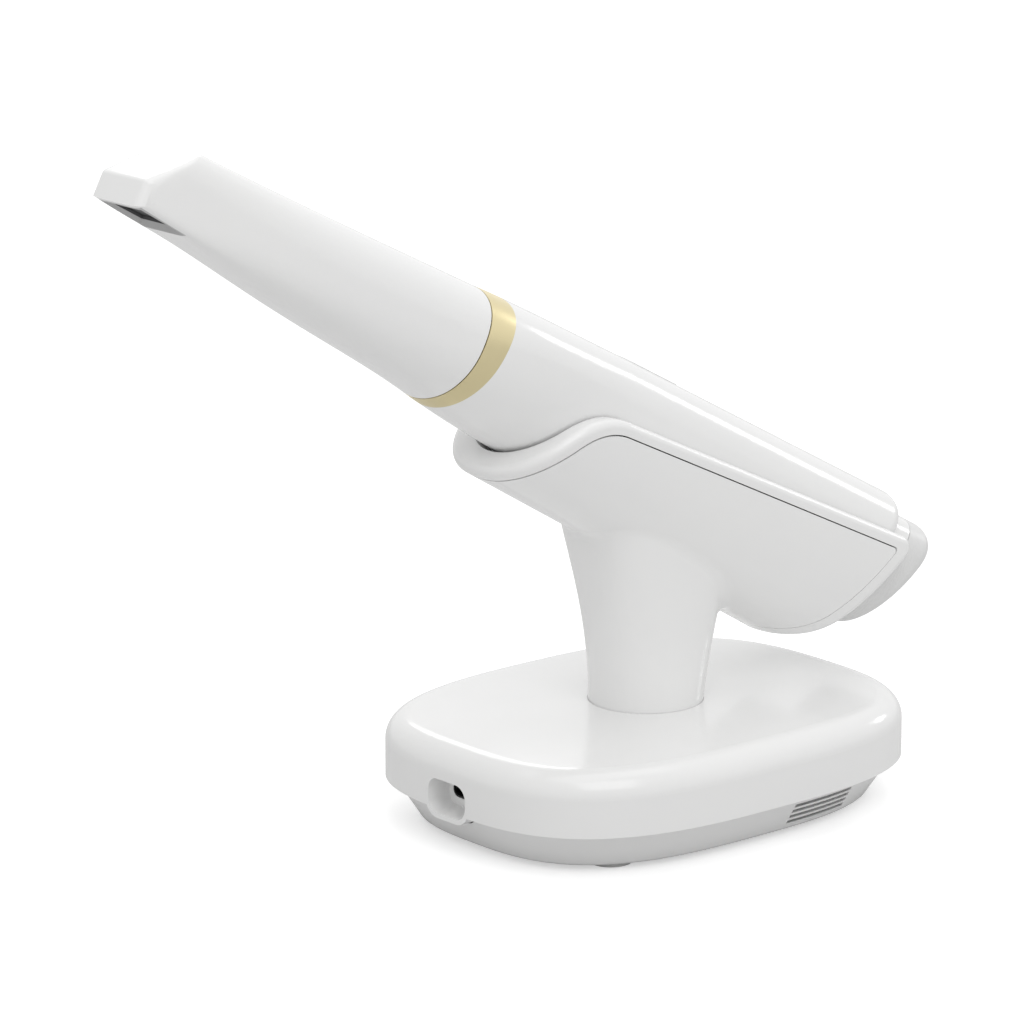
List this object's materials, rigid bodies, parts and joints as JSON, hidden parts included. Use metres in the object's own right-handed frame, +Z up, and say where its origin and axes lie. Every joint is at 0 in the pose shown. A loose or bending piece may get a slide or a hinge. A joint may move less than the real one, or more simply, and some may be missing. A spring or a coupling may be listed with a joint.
{
  "type": "intraoral scanner",
  "caption": "Hand-held intraoral scanner lying in the cradle of a rounded stand, with a pull-off scan tip, a slide-out battery and a sprung scan button.",
  "frame": {"origin": "on the table under the centre of the base", "axes": "+Z up, -X towards the scan tip, +Y to the left seen from the rear"},
  "size_m": [0.2405, 0.095, 0.176],
  "materials": {
    "white_plastic": "glossy white moulding",
    "gold_ring": "satin champagne gold",
    "mirror": "polished",
    "clear_glass": "polished",
    "dark_plastic": "matt",
    "black_plastic": "matt",
    "bench_metal": "satin",
    "board": "matt",
    "steel": "plain",
    "button_plastic": "satin",
    "light_plastic": "frosted",
    "contact_metal": "plated",
    "rubber": "matt"
  },
  "bodies": {
    "stand": {"ballast_plate": "steel", "base_bottom_cover": "white_plastic", "base_circuit_board": "board", "base_screws": "steel", "base_top_cover": "white_plastic", "battery_contacts": "contact_metal", "battery_sleeve": "white_plastic", "bench_screws": "steel", "board_screws": "steel", "button_switch": "black_plastic", "capacitors": "bench_metal", "column_screws": "steel", "cradle_tray": "white_plastic", "front_left_foot": "rubber", "front_right_foot": "rubber", "handle_housing": "white_plastic", "heat_sink": "bench_metal", "heat_spreader": "bench_metal", "image_processor": "black_plastic", "left_camera": "black_plastic", "left_camera_lens": "clear_glass", "main_circuit_board": "board", "nose_window": "clear_glass", "optical_bench": "bench_metal", "optical_nose": "dark_plastic", "power_inductor": "black_plastic", "power_jack": "black_plastic", "projector_lens": "clear_glass", "projector_module": "black_plastic", "rear_left_foot": "rubber", "rear_right_foot": "rubber", "receiver_module": "bench_metal", "right_camera": "black_plastic", "right_camera_lens": "clear_glass", "stand_column": "white_plastic", "status_light": "light_plastic", "tray_screws": "steel", "trim_ring": "gold_ring"},
    "tip": {"scan_tip": "white_plastic", "tip_liner": "dark_plastic", "tip_mirror": "mirror"},
    "battery": {"battery_cap": "white_plastic", "battery_cell": "dark_plastic"},
    "button": {"scan_button": "button_plastic"}
  },
  "joints": [
    {"name": "tip_pull", "type": "slide", "parent": "stand", "child": "tip", "axis": [-0.8805, 0, 0.4741], "range_m": [0, 0.06]},
    {"name": "battery_slide", "type": "slide", "parent": "stand", "child": "battery", "axis": [0.8805, 0, -0.4741], "range_m": [0, 0.06]},
    {"name": "scan_button_press", "type": "slide", "parent": "stand", "child": "button", "axis": [-0.4741, 0, -0.8805], "range_m": [0, 0.0004], "stiffness_N_per_m": 600}
  ]
}
